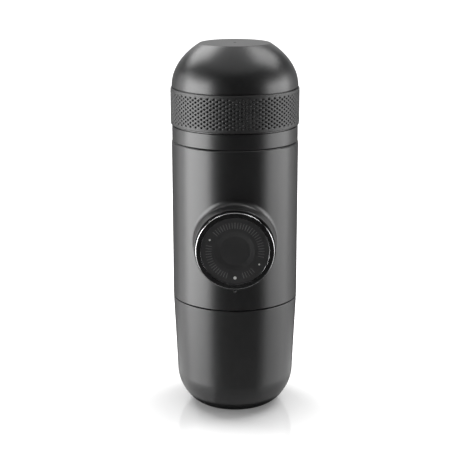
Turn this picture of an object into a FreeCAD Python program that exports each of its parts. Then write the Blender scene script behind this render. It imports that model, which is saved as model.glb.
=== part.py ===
import FreeCAD, Part
import math
import os

from FreeCAD import Vector

# A hand-pumped espresso maker, closed for travel and standing on its water tank.
# Millimetres. Z is the long axis, with z = 0 on the tank's flat foot.
# The pump lies across the body. Its axis points along -Y at pump_height, and "depth" is
# the distance from the long axis towards the button, so a depth of 40 is y = -40.

# ---- clearances
seam_gap = 0.3            # flat gap between parts that come apart
loose_fit = 0.3           # radial gap round parts that lift or slide past each other
snug_fit = 0.05           # radial gap between fixed parts of one body
running_fit = 0.08        # radial gap of a sliding or turning fit
seat_gap = 0.1            # flat gap between parts that almost touch
thread_relief = 0.25      # crests stay this far from the bore that they pass

# ---- outer form
body_radius = 29.74
body_wall = 2.0
tank_height = 54.3        # seam between the water tank and the body
cup_length = 45.3         # from the seam between the body and the cup to the flat top
body_lip_round = 0.8
seam_round = 0.4

# ---- water tank
tank_wall = 2.2
tank_base = 2.5
tank_taper = 1.77             # the straight side narrows by this down to the corner
tank_corner_height = 15.9     # the corner curve starts this far above the foot
tank_corner_width = 11.97     # and ends this far inwards, at the flat foot's edge
tank_corner_upper_pull = 7.2  # how far the corner curve follows the taper
tank_corner_lower_pull = 5.65 # how far it follows the foot
tank_neck_wall = 1.8
tank_neck_length = 9.3
tank_shoulder_drop = 4.5      # the wall starts to close in this far below the seam

# ---- threads
thread_height = 0.6
thread_land = 1.0
thread_pitch = 3.0

# ---- tank collar inside the body
collar_wall = 1.14
collar_floor = 3.0
tank_seal_thickness = 1.2
tank_seal_width = 2.2
air_valve_inset = 7.9         # from the bore of the tank's neck to the valve's middle
air_valve_stem = 1.5
air_valve_cap = 4.0
air_valve_lip = 0.9
air_valve_bulb = 2.1

# ---- suction line
channel_radius = 1.5
suction_tube_radius = 2.5
suction_wall_gap = 2.55       # between the strainer and the tank's neck
suction_tube_clearance = 5.5  # from the tank's inner floor to the tube's end
strainer_wall = 0.8
strainer_length = 6.5
strainer_slot = 1.0
strainer_slots = 6

# ---- pump, measured along the depth axis
pump_clearance = 0.35         # from the collar's floor up to the bore of the boss
lock_turn = 48.0
barrel_bore = 4.5
barrel_wall = 2.0
barrel_seat = 3.0             # length of the barrel inside the valve block
barrel_rest = 1.3             # barrel left before the piston at the full stroke
barrel_seal_thickness = 1.0
piston_head_length = 5.0
piston_head_gap = 0.2         # left at the bottom of the stroke, before the block's face
piston_ring = 0.5             # section radius of the piston's sealing rings
piston_rod_radius = 2.0
rod_shoulder_radius = 3.2
rod_shoulder_length = 1.6
clip_thickness = 0.6
clip_radius = 4.0
clip_opening = 70.0
spring_wire = 0.5
spring_turns = 12

# ---- valve block
block_front_wall = 2.5        # in front of the valve bore
block_back_wall = 4.0         # behind it
block_half_width = 9.0
valve_bore = 3.0
ball_radius = 2.4
inlet_fitting_height = 3.2
inlet_chamber_height = 5.0
outlet_chamber_height = 17.0  # from the outlet's seat to the top of the block
outlet_fitting_height = 6.0
outlet_spring_wire = 0.3
outlet_spring_turns = 5
block_screw_x = 5.2
block_screw_inset = 3.0       # behind the block's front face
screw_radius = 1.45
screw_head_radius = 2.6
screw_head_height = 1.8
block_screw_grip = 9.0

# ---- boss, collar and guide bush
boss_height = 7.26            # the rim stands this far out of the body's side
boss_bore = 18.0
boss_wall = 0.6               # at the rim
boss_draft = 0.8              # the root is wider than the rim by this
boss_fillet = 3.0
boss_rim_round = 0.4
boss_ledge_drop = 11.5        # from the rim down to the ledge
boss_ledge = 3.5
passage_play = 1.7
bush_drop = 5.0               # from the rim down to the guide bush
collar_thickness = 2.9
collar_notch_wall = 1.0
collar_notch_depth = 1.1
lug_count = 3
lug_angle = 18.0
lug_play = 1.0                # degrees of free turn at each end of a notch
index_mark_gap = 2.6          # from the boss's root down to the mark's middle
index_mark_radius = 0.7
index_mark_depth = 0.45
index_mark_proud = 0.05

# ---- sliding sleeve and button
sleeve_radius = 11.2
sleeve_wall = 1.8
sleeve_stop_width = 1.0
sleeve_stop_length = 2.0
sleeve_socket = 1.7           # length of the sleeve inside the flange
sleeve_rest = 0.85            # between the pressed sleeve and the valve block
flange_play = 0.4             # round the flange, in the boss's bore
flange_thickness = 1.7
flange_cone_play = 0.2        # round the cone, in the collar's bore
flange_hub_wall = 1.1
clip_pocket_play = 1.0
clip_pocket_depth = 1.5
lug_length = 1.5
lug_root = 1.0
groove_width = 0.5
groove_depth = 0.6
bezel_play = 0.2              # the bezel is narrower than the boss's bore by this
bezel_width = 2.3
bezel_height = 2.6
bezel_round = 0.9             # of its outer front edge
bezel_edge_round = 0.15
disc_recess = 0.4
disc_thickness = 1.1
dish_radius = 9.0
dish_drop = 0.5
dot_ring_gap = 3.5            # from the dish's edge out to the dots' middles
dot_sink = 0.3
big_dot_radius = 0.75
small_dot_radius = 0.42
big_dot_angle = 270.0
small_dot_angles = (155.0, 330.7)

# ---- group head at the top of the body
neck_rise = 27.0              # from the pump's axis up to the neck's floor
neck_depth = 16.7             # from there up to the body's top
neck_floor = 3.0
neck_wall = 1.39
neck_ring_inset = 1.44        # the ring lies this far inside the body's skin
neck_ring_height = 2.8
neck_ring_round = 0.5
neck_groove_inset = 0.29
neck_groove_height = 0.9
water_chamber_height = 2.4
shower_play = 0.4             # between the shower plate and the gasket
shower_seat = 1.7             # width of the plate's seat
shower_thickness = 1.2
shower_hole = 0.6
shower_pitch = 4.4
shower_hole_margin = 2.5
shower_post_radius = 3.4
shower_screw_radius = 1.3
shower_head_radius = 2.8
shower_head_height = 1.4
screw_slot_width = 0.8
screw_slot_depth = 0.7
gasket_ledge = 0.6
gasket_play = 0.4
gasket_width = 3.3
gasket_thickness = 2.0

# ---- filter basket
basket_flange_inset = 0.4     # inside the outlet head's skirt
basket_flange = 1.0
basket_play = 0.4
basket_wall = 0.7
basket_depth = 14.4
basket_base = 0.8
basket_base_rim = 3.4
basket_rib_width = 1.6
basket_ribs = 3
screen_thickness = 0.4
screen_hole = 0.6
screen_pitch = 3.4
screen_hole_margin = 1.0
basket_gasket_width = 2.9
basket_gasket_thickness = 1.2

# ---- outlet head
head_skirt_play = 0.7
head_skirt_wall = 2.3
head_ring_inset = 0.8         # narrower than the neck's ring by this
head_ring_height = 3.5
head_ring_proud = 0.9
head_dome_reach = 17.2        # radial half-axis of the dome's ellipse
head_dome_rise = 24.0         # vertical half-axis
head_dome_cut = 0.85          # the flat nose cuts the ellipse at this share of its rise
nose_clearance = 4.5          # between the nose and the cup's inner floor
nose_wall = 2.1
nose_round = 1.2
cavity_step = 1.8
cavity_dome_drop = 2.0        # the inner dome starts this far below the outer one
nozzle_radius = 5.6
nozzle_bore = 3.6
nozzle_length = 5.0
nozzle_recess = 0.4
nozzle_flange_width = 1.8
nozzle_flange = 1.1
nozzle_flange_play = 0.6

# ---- cup that closes the top
cup_rim_inset = 0.24          # the rim lies this far inside the body's skin
cup_dome_height = 19.8
cup_dome_reach = 45.07        # radial half-axis of the dome's ellipse
cup_dome_angle = 45.0         # the ellipse ends here at the flat top
cup_edge_round = 1.5
cup_base_wall = 2.1
cup_head_gap = 0.8            # between the cup's inner wall and the outlet head
cup_step_rise = 0.4           # the mouth narrows this far above the neck's ring
band_height = 18.2            # of the groove that holds the band
band_proud = 0.36             # outside the body's skin
band_thickness = 1.2
band_edge_round = 0.4
band_gap = 0.6                # open groove between the band and the cup, above and below
gate_mark_radius = 0.8
gate_mark_depth = 0.3

# ---- heights that follow
tank_top = tank_height - seam_gap / 2
shell_low = tank_height + seam_gap / 2
tank_neck_top = tank_top + tank_neck_length
floor_low = tank_neck_top + tank_seal_thickness
floor_top = floor_low + collar_floor
tube_low = tank_base + suction_tube_clearance
pump_height = floor_top + pump_clearance + boss_bore
neck_floor_height = pump_height + neck_rise
body_top = neck_floor_height + neck_depth
cup_low = body_top + seam_gap / 2
total_height = body_top + cup_length
neck_ring_low = body_top + neck_groove_height
neck_top = neck_ring_low + neck_ring_height

inlet_seat_height = floor_top + inlet_fitting_height
inlet_chamber_top = inlet_seat_height + inlet_chamber_height
outlet_seat_height = neck_floor_height - outlet_chamber_height
outlet_fitting_low = neck_floor_height - outlet_fitting_height
ball_rise = math.sqrt(ball_radius ** 2 - channel_radius ** 2) + seat_gap

plate_top = neck_floor_height + neck_floor
shower_low = plate_top + water_chamber_height
shower_top = shower_low + shower_thickness
gasket_low = shower_low + gasket_ledge
basket_low = gasket_low + gasket_thickness
basket_flange_top = basket_low + basket_flange
basket_top = basket_low + basket_depth
screen_top = basket_top - basket_base
head_ring_low = neck_top + seam_gap
head_ring_top = head_ring_low + head_ring_height
cup_inner_top = total_height - cup_base_wall
nose_height = cup_inner_top - nose_clearance
nose_inner = nose_height - nose_wall
head_dome_start = nose_height - head_dome_rise * head_dome_cut
cavity_low = basket_top + basket_gasket_thickness + seam_gap
cavity_dome_start = head_dome_start - cavity_dome_drop
cup_step_height = neck_top + cup_step_rise
cup_ledge_height = head_ring_top + seam_gap
cup_band_high = total_height - cup_dome_height
cup_band_low = cup_band_high - band_height

# ---- radii that follow, from the body's skin inwards
body_inner = body_radius - body_wall
insert_radius = body_inner - snug_fit
tank_waist_radius = body_radius - tank_taper
foot_radius = tank_waist_radius - tank_corner_width
collar_bore_radius = insert_radius - collar_wall
tank_neck_radius = collar_bore_radius - thread_relief - thread_height
tank_neck_bore = tank_neck_radius - tank_neck_wall
air_valve_offset = tank_neck_bore - air_valve_inset
strainer_bore = suction_tube_radius + snug_fit
strainer_radius = strainer_bore + strainer_wall
suction_offset = tank_neck_bore - suction_wall_gap - strainer_radius

neck_groove_radius = insert_radius - neck_groove_inset
neck_ring_radius = body_radius - neck_ring_inset
neck_bore = insert_radius - neck_wall
gasket_outer = neck_bore - gasket_play
gasket_inner = gasket_outer - gasket_width
shower_radius = gasket_inner - shower_play
water_chamber_radius = shower_radius - shower_seat
head_ring_radius = neck_ring_radius - head_ring_inset
head_radius = head_ring_radius - head_ring_proud
head_skirt_radius = neck_bore - head_skirt_play
head_skirt_bore = head_skirt_radius - head_skirt_wall
basket_flange_radius = head_skirt_radius - basket_flange_inset
basket_radius = head_skirt_bore - basket_play
basket_inner = basket_radius - basket_wall
basket_base_bore = basket_radius - basket_base_rim
basket_gasket_inner = basket_radius - basket_gasket_width
cavity_radius = head_skirt_bore - cavity_step
nozzle_flange_radius = nozzle_radius + nozzle_flange_width
cavity_apex_radius = nozzle_flange_radius + nozzle_flange_play

cup_rim_radius = body_radius - cup_rim_inset
cup_mouth_radius = neck_ring_radius + loose_fit
cup_throat_radius = head_ring_radius + loose_fit + snug_fit
cup_wall_radius = head_radius + cup_head_gap
band_radius = body_radius + band_proud
cup_seat_radius = band_radius - band_thickness - snug_fit

# ---- depths and radii of the pump and the button that follow
boss_rim = body_radius + boss_height
boss_rim_radius = boss_bore + boss_wall
boss_root_radius = boss_rim_radius + boss_draft
boss_ledge_front = boss_rim - boss_ledge_drop
boss_ledge_back = boss_ledge_front - boss_ledge
index_mark_height = pump_height - boss_root_radius - index_mark_gap
bush_front = boss_rim - bush_drop
collar_front = bush_front + collar_thickness
collar_notch_radius = boss_bore - collar_notch_wall
collar_bore = collar_notch_radius - collar_notch_depth
flange_back = collar_front + seam_gap
flange_front = flange_back + flange_thickness
flange_radius = boss_bore - flange_play
flange_cone_radius = collar_bore - flange_cone_play
flange_hub_radius = sleeve_radius + flange_hub_wall
flange_hub_back = bush_front + seam_gap
sleeve_front = flange_hub_back + sleeve_socket
clip_pocket_radius = clip_radius + clip_pocket_play
clip_pocket_back = flange_front - clip_pocket_depth
lug_back = flange_back - lug_length
core_radius = flange_radius - groove_depth
bezel_low = flange_front + groove_width
bezel_radius = boss_bore - bezel_play
bezel_inner = bezel_radius - bezel_width
button_front = bezel_low + bezel_height
disc_front = button_front - disc_recess
disc_back = disc_front - disc_thickness
dot_ring_radius = dish_radius + dot_ring_gap

block_front = suction_offset - valve_bore - block_front_wall
block_back = suction_offset + valve_bore + block_back_wall
block_screw_y = block_front + block_screw_inset
sleeve_inner = sleeve_radius - sleeve_wall
sleeve_stop_radius = sleeve_radius + sleeve_stop_width
sleeve_back = sleeve_rest - block_front
sleeve_stop_front = sleeve_back + sleeve_stop_length
pump_stroke = boss_ledge_front - seam_gap / 2 - sleeve_stop_front
boss_passage = sleeve_stop_radius + passage_play
barrel_outer = barrel_bore + barrel_wall
barrel_back = -(block_front + barrel_seat)
piston_head_back = piston_head_gap - block_front
piston_head_front = piston_head_back + piston_head_length
piston_head_radius = barrel_bore - running_fit
barrel_front = piston_head_front + pump_stroke + barrel_rest
spring_radius = (sleeve_inner + barrel_outer) / 2


# ---- helpers
def drum(radius, low, high, x=0.0, y=0.0):
    """A plain cylinder that stands along Z between two heights."""
    return Part.makeCylinder(radius, high - low, Vector(x, y, low))


def tube(inner, outer, low, high, x=0.0, y=0.0):
    return drum(outer, low, high, x, y).cut(drum(inner, low, high, x, y))


def turned(edges):
    """Turns a closed outline of edges, drawn in the XZ plane, about Z."""
    face = Part.Face(Part.Wire(edges))
    return face.revolve(Vector(0, 0, 0), Vector(0, 0, 1), 360)


def straight_edges(points):
    """Edges through (radius, height) points, leaving out steps of no length."""
    corners = [Vector(r, 0, z) for r, z in points]
    pairs = zip(corners[:-1], corners[1:])
    return [Part.makeLine(a, b) for a, b in pairs if a.distanceToPoint(b) > 1e-7]


def turned_points(points):
    return turned(straight_edges(points + points[:1]))


def ellipse_edge(centre_radius, centre_height, reach, rise, low_angle, high_angle):
    """Part of an upright ellipse, from low_angle to high_angle above its widest level."""
    centre = Vector(centre_radius, 0, centre_height)
    start, middle, end = (
        centre + Vector(reach * math.cos(a), 0, rise * math.sin(a))
        for a in (low_angle, (low_angle + high_angle) / 2, high_angle)
    )
    side = Vector(centre_radius + reach, 0, centre_height)
    top = Vector(centre_radius, 0, centre_height + rise)
    curve = Part.Ellipse(side, top, centre) if reach > rise else Part.Ellipse(top, side, centre)
    arc = Part.ArcOfEllipse(curve, curve.parameter(start), curve.parameter(end))
    if arc.toShape().distToShape(Part.Vertex(middle))[0] > 1e-3:
        arc = Part.ArcOfEllipse(curve, curve.parameter(end), curve.parameter(start))
    return arc.toShape()


def bezier_edge(poles):
    curve = Part.BezierCurve()
    curve.setPoles([Vector(r, 0, z) for r, z in poles])
    return curve.toShape()


def along_pump(shape):
    """Lays a shape drawn along +Z down on the pump's axis, so +Z becomes the depth."""
    shape.rotate(Vector(0, 0, 0), Vector(1, 0, 0), 90)
    shape.translate(Vector(0, 0, pump_height))
    return shape


def sector(radius, low, high, start_angle, sweep):
    """A slice of a cylinder, as wide as sweep degrees."""
    slice_ = Part.makeCylinder(radius, high - low, Vector(0, 0, low), Vector(0, 0, 1), sweep)
    slice_.rotate(Vector(0, 0, 0), Vector(0, 0, 1), start_angle)
    return slice_


def polar(radius, degrees):
    turn = math.radians(degrees)
    return radius * math.cos(turn), radius * math.sin(turn)


def bar(length, width, low, high, turn=0.0):
    """A flat bar across the long axis, turned by some degrees about it."""
    shape = Part.makeBox(length, width, high - low, Vector(-length / 2, -width / 2, low))
    shape.rotate(Vector(0, 0, 0), Vector(0, 0, 1), turn)
    return shape


def thread_heights(low, high):
    """Heights of the ridges that fit between two levels, one pitch apart."""
    count = max(1, int((high - low - thread_land) / thread_pitch) + 1)
    start = (low + high - (count - 1) * thread_pitch) / 2
    return [start + i * thread_pitch for i in range(count)]


def ridge(root, crest, height):
    """One turn of a thread as a ring with sloped flanks, on the outside or in a bore."""
    slope = abs(crest - root)
    half = thread_land / 2
    return turned_points(
        [
            (root, height - half - slope),
            (crest, height - half),
            (crest, height + half),
            (root, height + half + slope),
        ]
    )


def hex_grid(pitch, field_radius, clear_radius):
    """Points of a triangular grid inside field_radius and outside clear_radius."""
    row_step = pitch * math.sqrt(3) / 2
    rows = int(field_radius / row_step) + 1
    columns = int(field_radius / pitch) + 1
    points = []
    for row in range(-rows, rows + 1):
        shift = pitch / 2 if row % 2 else 0.0
        for column in range(-columns - 1, columns + 1):
            x, y = column * pitch + shift, row * row_step
            if clear_radius < math.hypot(x, y) <= field_radius:
                points.append((x, y))
    return points


def perforated(disc, points, hole, low, high):
    holes = [drum(hole, low, high, x, y) for x, y in points]
    return disc.cut(Part.makeCompound(holes))


def coil_spring(mean_radius, wire, low, high, turns):
    """A round-wire spring that stands along Z, with its wire inside low and high."""
    length = high - low - 2 * wire
    path = Part.makeHelix(length / turns, length, mean_radius)
    section = Part.Wire(Part.makeCircle(wire, Vector(mean_radius, 0, 0), Vector(0, 1, 0)))
    spring = Part.Wire(path.Edges).makePipeShell([section], True, True)
    spring.translate(Vector(0, 0, low + wire))
    return spring


def torus_ring(inner, outer, middle_height):
    """A round sealing ring."""
    section = (outer - inner) / 2
    return Part.makeTorus(inner + section, section, Vector(0, 0, middle_height))


def circles_at(shape, radius, height):
    """The edges of a turned shape that are full circles of this radius and height."""
    found = []
    for edge in shape.Edges:
        if not isinstance(edge.Curve, Part.Circle):
            continue
        level = abs(edge.Curve.Center.z - height) < 1e-4
        if level and abs(edge.Curve.Radius - radius) < 1e-4:
            found.append(edge)
    return found


def rounded(shape, size, places):
    """Rounds the circular edges named by (radius, height)."""
    edges = [edge for radius, height in places for edge in circles_at(shape, radius, height)]
    return shape.makeFillet(size, edges)


# ---- water tank
def tank_outline(inset, base):
    """The tank's side from the foot to the taper's end, moved inwards by inset."""
    taper = (body_radius - tank_waist_radius) / (tank_top - tank_corner_height)
    low = (foot_radius, base)
    high = (tank_waist_radius - inset, tank_corner_height)
    lower_pull = (foot_radius + tank_corner_lower_pull * (1 - inset / foot_radius), base)
    upper_pull = (
        high[0] - taper * tank_corner_upper_pull,
        high[1] - tank_corner_upper_pull * (1 - base / tank_corner_height),
    )
    return low, high, bezier_edge([low, lower_pull, upper_pull, high])


def make_water_tank():
    low, high, corner = tank_outline(0.0, 0.0)
    edges = straight_edges([(0, 0), low]) + [corner]
    edges += straight_edges([high, (body_radius, tank_top), (tank_neck_radius, tank_top)])
    edges += straight_edges([(tank_neck_radius, tank_top), (tank_neck_radius, tank_neck_top)])
    edges += straight_edges([(tank_neck_radius, tank_neck_top), (0, tank_neck_top), (0, 0)])
    solid = rounded(turned(edges), seam_round, [(body_radius, tank_top)])
    for height in thread_heights(tank_top, tank_neck_top):
        solid = solid.fuse(ridge(tank_neck_radius, tank_neck_radius + thread_height, height))
    return solid.removeSplitter().cut(tank_hollow())


def tank_hollow():
    low, high, corner = tank_outline(tank_wall, tank_base)
    shoulder = tank_top - tank_shoulder_drop
    edges = straight_edges([(0, tank_base), low]) + [corner]
    edges += straight_edges(
        [
            high,
            (body_radius - tank_wall, shoulder),
            (tank_neck_bore, tank_top - tank_wall),
            (tank_neck_bore, tank_neck_top),
            (0, tank_neck_top),
            (0, tank_base),
        ]
    )
    return turned(edges)


# ---- body shell and what closes it below
def make_body_shell():
    outer = drum(body_radius, shell_low, body_top)
    boss = along_pump(
        Part.makeCone(boss_root_radius, boss_rim_radius, boss_rim - block_front, Vector(0, 0, block_front))
    )
    solid = outer.fuse(boss)
    solid = solid.makeFillet(boss_fillet, boss_root_edges(solid))
    solid = solid.cut(drum(body_inner, shell_low, body_top))
    inner_tube = along_pump(drum(boss_root_radius, boss_ledge_back, boss_rim - body_wall))
    room = drum(body_radius - body_wall / 2, floor_top, neck_floor_height)
    solid = solid.fuse(inner_tube.common(room))
    solid = solid.cut(along_pump(drum(boss_bore, boss_ledge_front, boss_rim)))
    solid = solid.cut(along_pump(drum(boss_passage, 0.0, boss_ledge_front)))
    solid = solid.cut(boss_root_waste())
    solid = rounded(solid, body_lip_round, [(body_radius, body_top)])
    solid = rounded(solid, seam_round, [(body_radius, shell_low)])
    solid = round_boss_rim(solid)
    return solid.cut(front_plug(index_mark_radius + snug_fit, body_wall, boss_fillet)).removeSplitter()


def boss_root_edges(solid):
    """The curved edge where the boss leaves the body."""
    found = []
    for edge in solid.Edges:
        box = edge.BoundBox
        wide = box.XLength > boss_rim_radius and box.ZLength > boss_rim_radius
        bent = box.YLength > body_wall
        if wide and bent and box.YMax < 0:
            found.append(edge)
    return found


def boss_root_waste():
    """What is left of the boss's root inside the body, behind its ledge."""
    return along_pump(drum(boss_root_radius + 1.0, 0.0, boss_ledge_back)).common(
        drum(body_inner, shell_low, body_top)
    )


def round_boss_rim(solid):
    edges = [
        edge
        for edge in solid.Edges
        if isinstance(edge.Curve, Part.Circle)
        and abs(edge.Curve.Center.y + boss_rim) < 1e-4
        and edge.Curve.Radius > boss_bore + seat_gap
    ]
    return solid.makeFillet(boss_rim_round, edges)


def front_plug(radius, depth, proud):
    """A round plug in the body's front, below the button, at the index mark's place."""
    start = Vector(0, -(body_radius + proud), index_mark_height)
    return Part.makeCylinder(radius, depth + proud, start, Vector(0, 1, 0))


def make_tank_collar():
    solid = drum(insert_radius, shell_low, floor_top)
    solid = solid.cut(drum(collar_bore_radius, shell_low, floor_low))
    for height in thread_heights(tank_top, tank_neck_top):
        solid = solid.cut(ridge(collar_bore_radius, collar_bore_radius + thread_height, height))
    solid = solid.cut(drum(strainer_bore, floor_low, floor_top, 0, suction_offset))
    return solid.cut(drum(air_valve_stem + snug_fit, floor_low, floor_top, 0, -air_valve_offset))


def make_tank_seal():
    outer = tank_neck_radius + thread_height
    return tube(outer - tank_seal_width, outer, tank_neck_top, floor_low)


def make_air_valve():
    lip = drum(air_valve_cap, floor_low - air_valve_lip, floor_low)
    stem = drum(air_valve_stem, floor_low - air_valve_lip, floor_top)
    bulb = Part.makeCone(air_valve_bulb, air_valve_stem / 2, air_valve_bulb, Vector(0, 0, floor_top))
    solid = lip.fuse([stem, bulb])
    solid.translate(Vector(0, -air_valve_offset, 0))
    return solid.removeSplitter()


# ---- suction line and valve block
def make_suction_tube():
    return tube(channel_radius, suction_tube_radius, tube_low, floor_top, 0, suction_offset)


def make_tube_strainer():
    low = tube_low - strainer_wall - strainer_slot
    solid = drum(strainer_radius, low, low + strainer_length)
    solid = solid.cut(drum(strainer_bore, tube_low, low + strainer_length))
    solid = solid.cut(drum(channel_radius, low + strainer_wall, tube_low))
    slot_low = low + strainer_wall
    for i in range(strainer_slots // 2):
        turn = i * 360.0 / strainer_slots
        slot = bar(2 * strainer_radius, strainer_slot, slot_low, slot_low + strainer_slot, turn)
        solid = solid.cut(slot)
    solid.translate(Vector(0, suction_offset, 0))
    return solid


def make_valve_block():
    solid = Part.makeBox(
        2 * block_half_width,
        block_back - block_front,
        neck_floor_height - floor_top,
        Vector(-block_half_width, block_front, floor_top),
    )
    solid = solid.common(drum(insert_radius, floor_top, neck_floor_height))
    channels = [
        drum(valve_bore, floor_top, inlet_chamber_top, 0, suction_offset),
        drum(channel_radius, inlet_chamber_top, outlet_seat_height, 0, suction_offset),
        drum(valve_bore, outlet_seat_height, neck_floor_height, 0, suction_offset),
        along_pump(drum(barrel_outer + snug_fit, barrel_back - barrel_seal_thickness, -block_front)),
        along_pump(drum(channel_radius, -suction_offset, barrel_back)),
    ]
    channels += block_screw_holes(neck_floor_height - block_screw_grip, neck_floor_height)
    return solid.cut(channels)


def block_screw_holes(low, high):
    return [
        drum(screw_radius + snug_fit, low, high, side * block_screw_x, block_screw_y)
        for side in (-1, 1)
    ]


def valve_fitting(low, high):
    """A pierced plug in the valve block's bore."""
    return tube(channel_radius, valve_bore - snug_fit, low, high, 0, suction_offset)


def valve_ball(seat):
    return Part.makeSphere(ball_radius, Vector(0, suction_offset, seat + ball_rise))


def make_outlet_spring():
    ball_top = outlet_seat_height + ball_rise + ball_radius
    wire = outlet_spring_wire
    mean_radius = ball_radius - 2 * wire
    spring = coil_spring(mean_radius, wire, ball_top, outlet_fitting_low, outlet_spring_turns)
    spring.translate(Vector(0, suction_offset, 0))
    return spring


def make_block_screws():
    head_top = plate_top + screw_head_height
    shank = drum(screw_radius, neck_floor_height - block_screw_grip, plate_top)
    head = drum(screw_head_radius, plate_top, head_top)
    screw = cross_recessed(shank.fuse(head), head_top, screw_head_radius)
    pair = [
        screw.translated(Vector(side * block_screw_x, block_screw_y, 0))
        for side in (-1, 1)
    ]
    return Part.makeCompound(pair)


def cross_recessed(screw, top, radius):
    """Cuts a cross recess into the head of a screw that stands on the long axis."""
    length = 2 * (radius - screw_slot_width)
    for turn in (0, 90):
        screw = screw.cut(bar(length, screw_slot_width, top - screw_slot_depth, top, turn))
    return screw.removeSplitter()


# ---- pump
def make_pump_barrel():
    return along_pump(tube(barrel_bore, barrel_outer, barrel_back, barrel_front))


def make_barrel_seal():
    return along_pump(tube(barrel_bore, barrel_outer, barrel_back - barrel_seal_thickness, barrel_back))


def make_piston_rod():
    tip = piston_head_back + piston_head_length / 4
    front = clip_pocket_back + seat_gap + 2 * clip_thickness
    solid = drum(piston_rod_radius, tip, front)
    shoulder_front = sleeve_front - seat_gap
    solid = solid.fuse(drum(rod_shoulder_radius, shoulder_front - rod_shoulder_length, shoulder_front))
    clip_low = clip_pocket_back + seat_gap
    groove = tube(clip_bore(), piston_rod_radius, clip_low, clip_low + clip_thickness)
    return along_pump(solid.cut(groove))


def clip_bore():
    return piston_rod_radius * 0.8


def make_rod_clip():
    low = clip_pocket_back + seat_gap
    ring = tube(clip_bore() + snug_fit, clip_radius, low, low + clip_thickness)
    return along_pump(ring.cut(sector(clip_radius, low, low + clip_thickness, 0, clip_opening)))


def piston_ring_middles():
    third = piston_head_length / 4
    return [piston_head_back + third, piston_head_front - third]


def make_piston_head():
    solid = drum(piston_head_radius, piston_head_back, piston_head_front)
    tip = piston_head_back + piston_head_length / 4
    solid = solid.cut(drum(piston_rod_radius + snug_fit, tip, piston_head_front))
    groove_floor = piston_head_radius - 2 * piston_ring - snug_fit
    for middle in piston_ring_middles():
        half = piston_ring + snug_fit
        solid = solid.cut(tube(groove_floor, piston_head_radius, middle - half, middle + half))
    return along_pump(solid)


def make_piston_seals():
    outer = piston_head_radius
    rings = [torus_ring(outer - 2 * piston_ring, outer, middle) for middle in piston_ring_middles()]
    return along_pump(Part.makeCompound(rings))


def make_return_spring():
    front = sleeve_front - seat_gap
    return along_pump(coil_spring(spring_radius, spring_wire, -block_front, front, spring_turns))


# ---- boss collar, guide bush and button
def make_boss_collar():
    solid = tube(collar_bore, boss_bore - snug_fit, bush_front, collar_front)
    sweep = lug_angle + lock_turn + 2 * lug_play
    for i in range(lug_count):
        start = lug_start(i) - lug_play
        solid = solid.cut(sector(collar_notch_radius, bush_front, collar_front, start, sweep))
    return along_pump(solid)


def lug_start(i):
    """Where each locking lug begins while the button is locked."""
    return big_dot_angle - lug_angle / 2 + i * 360.0 / lug_count


def make_guide_bush():
    return along_pump(tube(sleeve_radius + running_fit, boss_bore - snug_fit, boss_ledge_front, bush_front))


def make_piston_sleeve():
    solid = tube(sleeve_inner, sleeve_radius, sleeve_back, sleeve_front)
    stop = tube(sleeve_inner, sleeve_stop_radius, sleeve_back, sleeve_stop_front)
    return along_pump(solid.fuse(stop).removeSplitter())


def make_button_flange():
    solid = turned_points(
        [
            (0, flange_hub_back),
            (flange_hub_radius, flange_hub_back),
            (flange_cone_radius, flange_back),
            (flange_radius, flange_back),
            (flange_radius, flange_front),
            (0, flange_front),
        ]
    )
    solid = solid.cut(drum(sleeve_radius + snug_fit, flange_hub_back, sleeve_front))
    solid = solid.cut(drum(piston_rod_radius + running_fit, sleeve_front, flange_front))
    solid = solid.cut(drum(clip_pocket_radius, clip_pocket_back, flange_front))
    lug_radius = collar_notch_radius - loose_fit
    for i in range(lug_count):
        lug = sector(lug_radius, lug_back, flange_back, lug_start(i), lug_angle)
        solid = solid.fuse(lug.cut(drum(flange_cone_radius - lug_root, lug_back, flange_back)))
    return along_pump(solid.removeSplitter())


def make_button_core():
    lip = drum(core_radius, flange_front, bezel_low)
    seat = drum(bezel_inner - snug_fit, flange_front, disc_back)
    return along_pump(lip.fuse(seat).removeSplitter())


def make_button_bezel():
    solid = tube(bezel_inner, bezel_radius, bezel_low, button_front)
    solid = rounded(solid, bezel_round, [(bezel_radius, button_front)])
    small_rounds = [(bezel_inner, button_front), (bezel_radius, bezel_low)]
    solid = rounded(solid, bezel_edge_round, small_rounds)
    return along_pump(solid)


def dot_places():
    """Radius and place of each index dot on the button's face."""
    places = [(big_dot_radius, polar(dot_ring_radius, big_dot_angle))]
    places += [(small_dot_radius, polar(dot_ring_radius, angle)) for angle in small_dot_angles]
    return places


def make_button_disc():
    edge = bezel_inner - snug_fit
    solid = turned_points(
        [
            (0, disc_back),
            (edge, disc_back),
            (edge, disc_front),
            (dish_radius, disc_front),
            (dish_radius - dish_drop, disc_front - dish_drop),
            (0, disc_front - dish_drop),
        ]
    )
    pockets = [drum(r + snug_fit, disc_front - dot_sink, disc_front, x, y) for r, (x, y) in dot_places()]
    return along_pump(solid.cut(pockets))


def make_button_dots():
    top = disc_front + snug_fit
    dots = [drum(r, disc_front - dot_sink, top, x, y) for r, (x, y) in dot_places()]
    return along_pump(Part.makeCompound(dots))


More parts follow.
